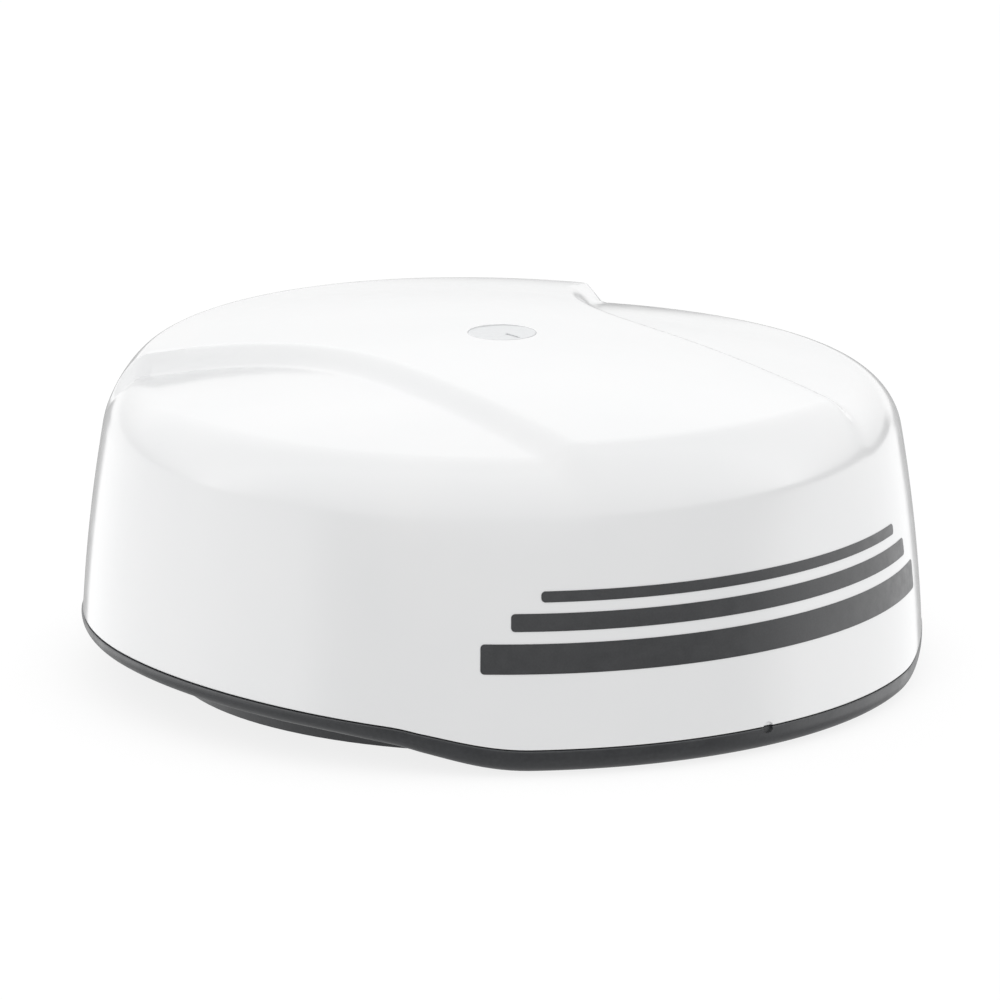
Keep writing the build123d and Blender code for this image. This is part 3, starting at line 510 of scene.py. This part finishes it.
class Surface:
    """A Principled material with helpers that wire procedural detail into it."""

    def __init__(self, name, color, roughness, metallic=0.0, **inputs):
        self.material = bpy.data.materials.new(name)
        self.material.use_nodes = True
        self.tree = self.material.node_tree
        self.shader = self.tree.nodes["Principled BSDF"]
        self.color = color
        self.set("Base Color", (*color, 1))
        self.set("Roughness", roughness)
        self.set("Metallic", metallic)
        for key, value in inputs.items():
            self.set(key.replace("_", " "), value)
        self.coords = self.node("ShaderNodeTexCoord").outputs["Object"]
        self.normal = None

    def set(self, socket, value):
        self.shader.inputs[socket].default_value = value

    def node(self, kind, **settings):
        made = self.tree.nodes.new(kind)
        for key, value in settings.items():
            if key in made.inputs:
                made.inputs[key].default_value = value
            else:
                setattr(made, key, value)
        return made

    def link(self, source, target):
        self.tree.links.new(source, target)

    def stretched(self, scale):
        mapping = self.node("ShaderNodeMapping")
        mapping.inputs["Scale"].default_value = scale
        self.link(self.coords, mapping.inputs["Vector"])
        return mapping.outputs["Vector"]

    def noise(self, scale, detail, stretch=None, rough=0.55):
        made = self.node("ShaderNodeTexNoise", Scale=scale, Detail=detail, Roughness=rough)
        self.link(self.stretched(stretch) if stretch else self.coords, made.inputs["Vector"])
        return made.outputs["Fac"]

    def cells(self, scale):
        """Distance from the middle of each cell of a random pattern."""
        made = self.node("ShaderNodeTexVoronoi", Scale=scale)
        self.link(self.coords, made.inputs["Vector"])
        return made.outputs["Distance"]

    def tint(self, value, other, low=0.3, high=0.7):
        """Colour that goes from the base colour to another one with the value."""
        ramp = self.node("ShaderNodeValToRGB")
        ramp.color_ramp.elements[0].position = low
        ramp.color_ramp.elements[1].position = high
        ramp.color_ramp.elements[0].color = (*self.color, 1)
        ramp.color_ramp.elements[1].color = (*other, 1)
        self.link(value, ramp.inputs["Fac"])
        self.link(ramp.outputs["Color"], self.shader.inputs["Base Color"])

    def gloss(self, value, low, high):
        """Roughness that goes from low to high over the middle of the value's range."""
        made = self.node("ShaderNodeMapRange")
        made.inputs["From Min"].default_value = 0.3
        made.inputs["From Max"].default_value = 0.7
        made.inputs["To Min"].default_value = low
        made.inputs["To Max"].default_value = high
        self.link(value, made.inputs["Value"])
        self.link(made.outputs["Result"], self.shader.inputs["Roughness"])

    def bump(self, value, strength, distance):
        """Adds a bump on top of the earlier ones; the distance is in metres."""
        made = self.node("ShaderNodeBump", Strength=strength, Distance=distance)
        self.link(value, made.inputs["Height"])
        if self.normal is not None:
            self.link(self.normal, made.inputs["Normal"])
        self.normal = made.outputs["Normal"]
        self.link(self.normal, self.shader.inputs["Normal"])


def scaled(color, factor):
    return tuple(min(1.0, c * factor) for c in color)


def shell_material():
    s = Surface("radome_shell", (0.735, 0.74, 0.745), 0.12)
    s.tint(s.noise(9, 2), (0.75, 0.752, 0.755))
    s.gloss(s.noise(60, 3), 0.10, 0.15)
    s.bump(s.noise(70, 2), 0.05, 0.0004)
    s.bump(s.noise(900, 2), 0.02, 0.00005)
    return s


def marking_material():
    s = Surface("marking", (0.028, 0.029, 0.031), 0.38)
    s.tint(s.noise(700, 4), (0.036, 0.037, 0.039))
    s.gloss(s.noise(120, 3), 0.33, 0.43)
    s.bump(s.noise(1500, 3), 0.08, 0.00004)
    return s


def inlay_material():
    s = Surface("mark_inlay", (0.60, 0.61, 0.62), 0.32)
    s.tint(s.noise(240, 3), (0.63, 0.64, 0.65))
    s.gloss(s.noise(300, 3), 0.28, 0.4)
    s.bump(s.noise(1200, 3), 0.1, 0.00005)
    return s


def grained(name, color, roughness, grain, depth, lighter=1.35):
    """Moulded plastic with a fine spark-eroded grain."""
    s = Surface(name, color, roughness)
    s.tint(s.noise(grain * 0.5, 4), scaled(color, lighter))
    s.gloss(s.noise(grain * 0.08, 3), roughness - 0.05, roughness + 0.07)
    s.bump(s.cells(grain), 0.22, depth)
    s.bump(s.noise(grain * 2.2, 2), 0.12, depth * 0.5)
    return s


def rubber_material():
    s = Surface("seal_rubber", (0.018, 0.018, 0.019), 0.62)
    s.tint(s.noise(350, 4), (0.035, 0.035, 0.036))
    s.gloss(s.noise(90, 3), 0.52, 0.72)
    s.bump(s.noise(1400, 4), 0.18, 0.00008)
    return s


def nylon_material():
    depth = {"Subsurface_Weight": 0.12, "Subsurface_Scale": 0.002}
    s = Surface("natural_nylon", (0.74, 0.71, 0.61), 0.36, **depth)
    s.tint(s.noise(45, 3), (0.80, 0.77, 0.68))
    s.gloss(s.noise(160, 3), 0.3, 0.44)
    s.bump(s.noise(800, 3), 0.1, 0.00006)
    return s


def turned(name, color, roughness, tarnish):
    """Turned metal: fine rings along the axis and a little tarnish."""
    s = Surface(name, color, roughness, 1.0)
    s.tint(s.noise(60, 5), tarnish, 0.42, 0.78)
    s.gloss(s.noise(110, 4), roughness - 0.06, roughness + 0.12)
    s.bump(s.noise(160, 2, (1, 1, 26)), 0.16, 0.00005)
    return s


def brushed(name, color, roughness, along):
    """Sheet metal with a one-way brushed finish."""
    s = Surface(name, color, roughness, 1.0, Anisotropic=0.4)
    fine = s.noise(120, 5, along, 0.7)
    s.tint(fine, scaled(color, 0.84))
    s.gloss(s.noise(18, 4), roughness - 0.05, roughness + 0.1)
    s.bump(fine, 0.12, 0.00005)
    return s


def cast_material():
    s = Surface("cast_aluminium", (0.50, 0.51, 0.52), 0.46, 0.9)
    s.tint(s.noise(140, 6), (0.60, 0.61, 0.62))
    s.gloss(s.noise(70, 4), 0.4, 0.58)
    s.bump(s.cells(520), 0.3, 0.00018)
    s.bump(s.noise(1300, 3), 0.2, 0.0001)
    return s


def zinc_material():
    s = Surface("zinc_steel", (0.55, 0.56, 0.53), 0.3, 1.0)
    cells = s.cells(95)
    s.tint(cells, (0.66, 0.67, 0.66), 0.1, 0.75)
    s.gloss(cells, 0.24, 0.42)
    s.bump(s.noise(420, 4), 0.1, 0.00005)
    return s


def board_material():
    """Solder mask over tracks, which show as slightly lighter, raised lines."""
    s = Surface("board_green", (0.012, 0.11, 0.045), 0.26)
    brick = s.node("ShaderNodeTexBrick", offset=0.5, squash=0.8, squash_frequency=3)
    tracks = {
        "Scale": 85.0,
        "Mortar Size": 0.045,
        "Mortar Smooth": 0.2,
        "Row Height": 0.22,
        "Brick Width": 0.9,
    }
    for key, value in tracks.items():
        brick.inputs[key].default_value = value
    s.link(s.coords, brick.inputs["Vector"])
    s.tint(brick.outputs["Fac"], (0.03, 0.19, 0.08), 0.2, 0.8)
    s.gloss(s.noise(200, 3), 0.22, 0.34)
    s.bump(brick.outputs["Fac"], 0.3, 0.00005)
    return s


def copper_material():
    s = Surface("copper", (0.83, 0.46, 0.28), 0.24, 1.0)
    s.tint(s.noise(110, 5), (0.62, 0.32, 0.19), 0.4, 0.85)
    s.gloss(s.noise(190, 4), 0.18, 0.36)
    s.bump(s.noise(900, 4), 0.1, 0.00003)
    return s


def sheathed(name, color, roughness):
    """Flexible sheath, slightly uneven and finely pitted."""
    s = Surface(name, color, roughness)
    s.tint(s.noise(260, 4), scaled(color, 1.6))
    s.gloss(s.noise(120, 3), roughness - 0.07, roughness + 0.1)
    s.bump(s.noise(240, 3), 0.15, 0.0002)
    s.bump(s.cells(1400), 0.15, 0.00005)
    return s


SURFACES = {
    "radome_shell": shell_material(),
    "marking": marking_material(),
    "mark_inlay": inlay_material(),
    "tray_plastic": grained("tray_plastic", (0.022, 0.023, 0.025), 0.36, 620, 0.00008),
    "black_plastic": grained("black_plastic", (0.016, 0.016, 0.017), 0.45, 800, 0.00007, 1.7),
    "natural_nylon": nylon_material(),
    "seal_rubber": rubber_material(),
    "brass": turned("brass", (0.80, 0.60, 0.27), 0.26, (0.60, 0.42, 0.18)),
    "stainless": turned("stainless", (0.60, 0.60, 0.61), 0.28, (0.50, 0.50, 0.51)),
    "steel_polished": turned("steel_polished", (0.72, 0.72, 0.74), 0.14, (0.64, 0.64, 0.66)),
    "sheet_aluminium": brushed("sheet_aluminium", (0.70, 0.71, 0.72), 0.32, (1, 22, 22)),
    "cast_aluminium": cast_material(),
    "board_green": board_material(),
    "copper": copper_material(),
    "component_black": grained("component_black", (0.02, 0.02, 0.022), 0.5, 1500, 0.00004, 1.9),
    "coax_sheath": sheathed("coax_sheath", (0.022, 0.022, 0.024), 0.34),
    "lead_sheath": sheathed("lead_sheath", (0.026, 0.026, 0.03), 0.48),
    "zinc_steel": zinc_material(),
    "magnet_nickel": turned("magnet_nickel", (0.70, 0.69, 0.66), 0.16, (0.60, 0.59, 0.56)),
}
slots = {s["node"]: s["material_slot"] for s in frame["record"]["subparts"]}
for node, piece in frame["nodes"].items():
    material = SURFACES[slots[node]].material
    piece.data.materials.clear()
    piece.data.materials.append(material)
for piece in (cover, cover_inside, bars, lip, tray):
    piece.data.materials.clear()
    piece.data.materials.append(SURFACES[piece["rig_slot"]].material)


# ---- studio ----

CAMERA_AZIMUTH = -37.2  # degrees round from the bow
CAMERA_DISTANCE = 4.986
CAMERA_HEIGHT = 1.376
CAMERA_PITCH = math.radians(14.064)
CAMERA_YAW = math.radians(0.017)
CAMERA_LENS = 241.8  # mm, as the sensor's width
CAMERA_SENSOR = 36.0
CAMERA_CLIP = (0.1, 100)
FLOOR_SIZE = (60, 60)
FLOOR_GLOW = 0.82

ROOM_LEVEL = 0.98  # the even room that everything but a reflection sees
# What reflections see. CEILING goes over the top: (degrees from the front horizon, level).
# SIDES goes round below it: (degrees to the left of the front, level).
CEILING = ((0, 1.4), (50, 3.0), (90, 3.8), (132, 2.8), (156, 2.05), (165, 1.53), (180, 1.05))
SIDES = (
    (-180, 1.1), (-150, 1.55), (-100, 2.0), (-88, 1.9), (-72, 0.6), (-64, 0.2),
    (36, 0.25), (46, 0.6), (57, 1.7), (91, 2.3), (142, 1.75), (180, 1.1),
)
# Each pair below is where a smooth step starts and ends, as a part of a unit direction:
# upwards, to the left (negative is to the right) or to the front (negative is to the back).
HORIZON_UP = (0.07, 0.12)  # from the sides to the ceiling
STRIP_LEVEL = 0.25  # dark strip on the right, between the sides and the ceiling
STRIP_UP = (-0.02, 0.02)
STRIP_RIGHT = (0.0, -0.1)
STRIP_BACK = (-0.93, -0.85)  # it stops short of the back
UNDER_LEVEL = 0.6  # far below the horizon
UNDER_UP = (-0.28, -0.5)
FLAG_LEVEL = 0.36  # dark card behind the object, just below the horizon
FLAG_UP = (-0.01, -0.07)
FLAG_BACK = (-0.89, -0.92)


def plane(name, size, centre, facing, material):
    """Flat stage card, in metres; facing is the way that its front looks."""
    mesh = bpy.data.meshes.new(name)
    hx, hy = size[0] / 2, size[1] / 2
    mesh.from_pydata([(-hx, -hy, 0), (hx, -hy, 0), (hx, hy, 0), (-hx, hy, 0)], [], [(0, 1, 2, 3)])
    card = bpy.data.objects.new(name, mesh)
    card.location = centre
    card.rotation_mode = "QUATERNION"
    card.rotation_quaternion = Vector(facing).to_track_quat("Z", "Y")
    card.data.materials.append(material)
    bpy.context.scene.collection.objects.link(card)
    return card


def view_space(right, up, back):
    """Point from its place seen from the camera: right, up and towards the camera, in metres."""
    a = math.radians(CAMERA_AZIMUTH)
    toward = Vector((math.sin(a), -math.cos(a), 0))
    side = Vector((math.cos(a), math.sin(a), 0))
    return side * right + toward * back + Vector((0, 0, up))


def make_camera():
    """Long lens off the port bow, level and tilted down a little."""
    data = bpy.data.cameras.new("camera")
    data.lens = CAMERA_LENS
    data.sensor_width = CAMERA_SENSOR
    data.clip_start, data.clip_end = CAMERA_CLIP
    camera = bpy.data.objects.new("camera", data)
    camera.location = view_space(0, CAMERA_HEIGHT, CAMERA_DISTANCE)
    ahead = -view_space(0, 0, 1)
    ahead.rotate(Matrix.Rotation(CAMERA_YAW, 3, "Z"))
    ahead = ahead * math.cos(CAMERA_PITCH) - Vector((0, 0, math.sin(CAMERA_PITCH)))
    camera.rotation_mode = "QUATERNION"
    camera.rotation_quaternion = ahead.to_track_quat("-Z", "Y")
    bpy.context.scene.collection.objects.link(camera)
    bpy.context.scene.camera = camera


def floor_material():
    """Matt table that is lit from within, so that only a faint shadow shows."""
    lit = {"Specular_IOR_Level": 0.0, "Emission_Strength": FLOOR_GLOW}
    s = Surface("studio_floor", (0.2, 0.2, 0.2), 0.8, **lit)
    s.set("Emission Color", (1, 1, 1, 1))
    s.tint(s.noise(1.5, 2), (0.21, 0.21, 0.21))
    return s.material


class WorldNodes:
    """Short helpers for the world's node tree."""

    def __init__(self, tree):
        self.nodes, self.links = tree.nodes, tree.links

    def put(self, socket, value):
        if isinstance(value, (int, float, tuple)):
            socket.default_value = value
        else:
            self.links.new(value, socket)

    def math(self, operation, a, b):
        made = self.nodes.new("ShaderNodeMath")
        made.operation = operation
        self.put(made.inputs[0], a)
        self.put(made.inputs[1], b)
        return made.outputs["Value"]

    def dot(self, a, b):
        made = self.nodes.new("ShaderNodeVectorMath")
        made.operation = "DOT_PRODUCT"
        self.put(made.inputs[0], a)
        self.put(made.inputs[1], b)
        return made.outputs["Value"]

    def step(self, value, low, high):
        """Smooth step from 0 at low to 1 at high."""
        made = self.nodes.new("ShaderNodeMapRange")
        made.interpolation_type = "SMOOTHSTEP"
        made.inputs["From Min"].default_value = low
        made.inputs["From Max"].default_value = high
        self.put(made.inputs["Value"], value)
        return made.outputs["Result"]

    def curve(self, value, points):
        """Brightness along a run of (value, level) points."""
        low, high = points[0][0], points[-1][0]
        top = max(level for _, level in points)
        ramp = self.nodes.new("ShaderNodeValToRGB")
        elements = ramp.color_ramp.elements
        while len(elements) < len(points):
            elements.new(0.5)
        for element, (place, level) in zip(elements, points):
            element.position = (place - low) / (high - low)
            element.color = (level / top, level / top, level / top, 1)
        share = self.math("DIVIDE", self.math("SUBTRACT", value, low), high - low)
        self.put(ramp.inputs["Fac"], share)
        return self.math("MULTIPLY", ramp.outputs["Color"], top)

    def mix(self, share, a, b):
        """a where share is 0, b where it is 1."""
        rest = self.math("SUBTRACT", 1.0, share)
        return self.math("ADD", self.math("MULTIPLY", rest, a), self.math("MULTIPLY", share, b))


def make_world():
    """Even white room, with soft boxes that only reflections see, placed by direction."""
    world = bpy.data.worlds.new("studio")
    world.use_nodes = True
    bpy.context.scene.world = world
    tree = world.node_tree
    background = tree.nodes["Background"]
    background.inputs["Color"].default_value = (1, 1, 1, 1)
    w = WorldNodes(tree)
    way = tree.nodes.new("ShaderNodeTexCoord").outputs["Generated"]
    front = w.dot(way, tuple(view_space(0, 0, 1)))
    left = w.dot(way, tuple(view_space(-1, 0, 0)))
    up = w.dot(way, (0.0, 0.0, 1.0))
    over = w.math("ARCTAN2", up, front)
    round_left = w.math("ARCTAN2", left, front)
    ceiling = w.curve(over, [(math.radians(a), level) for a, level in CEILING])
    sides = w.curve(round_left, [(math.radians(a), level) for a, level in SIDES])
    strip = w.math("MULTIPLY", w.step(up, *STRIP_UP), w.step(left, *STRIP_RIGHT))
    strip = w.math("MULTIPLY", strip, w.step(front, *STRIP_BACK))
    sides = w.mix(strip, sides, STRIP_LEVEL)
    sides = w.mix(w.step(up, *UNDER_UP), sides, UNDER_LEVEL)
    flag = w.math("MULTIPLY", w.step(up, *FLAG_UP), w.step(front, *FLAG_BACK))
    sides = w.mix(flag, sides, FLAG_LEVEL)
    boxes = w.mix(w.step(up, *HORIZON_UP), sides, ceiling)
    glossy = tree.nodes.new("ShaderNodeLightPath").outputs["Is Glossy Ray"]
    w.put(background.inputs["Strength"], w.mix(glossy, ROOM_LEVEL, boxes))


def make_studio():
    bpy.context.scene.view_settings.view_transform = "Standard"
    make_world()
    floor = plane("floor", FLOOR_SIZE, (0, 0, 0), (0, 0, 1), floor_material())
    floor.visible_glossy = False


make_camera()
make_studio()
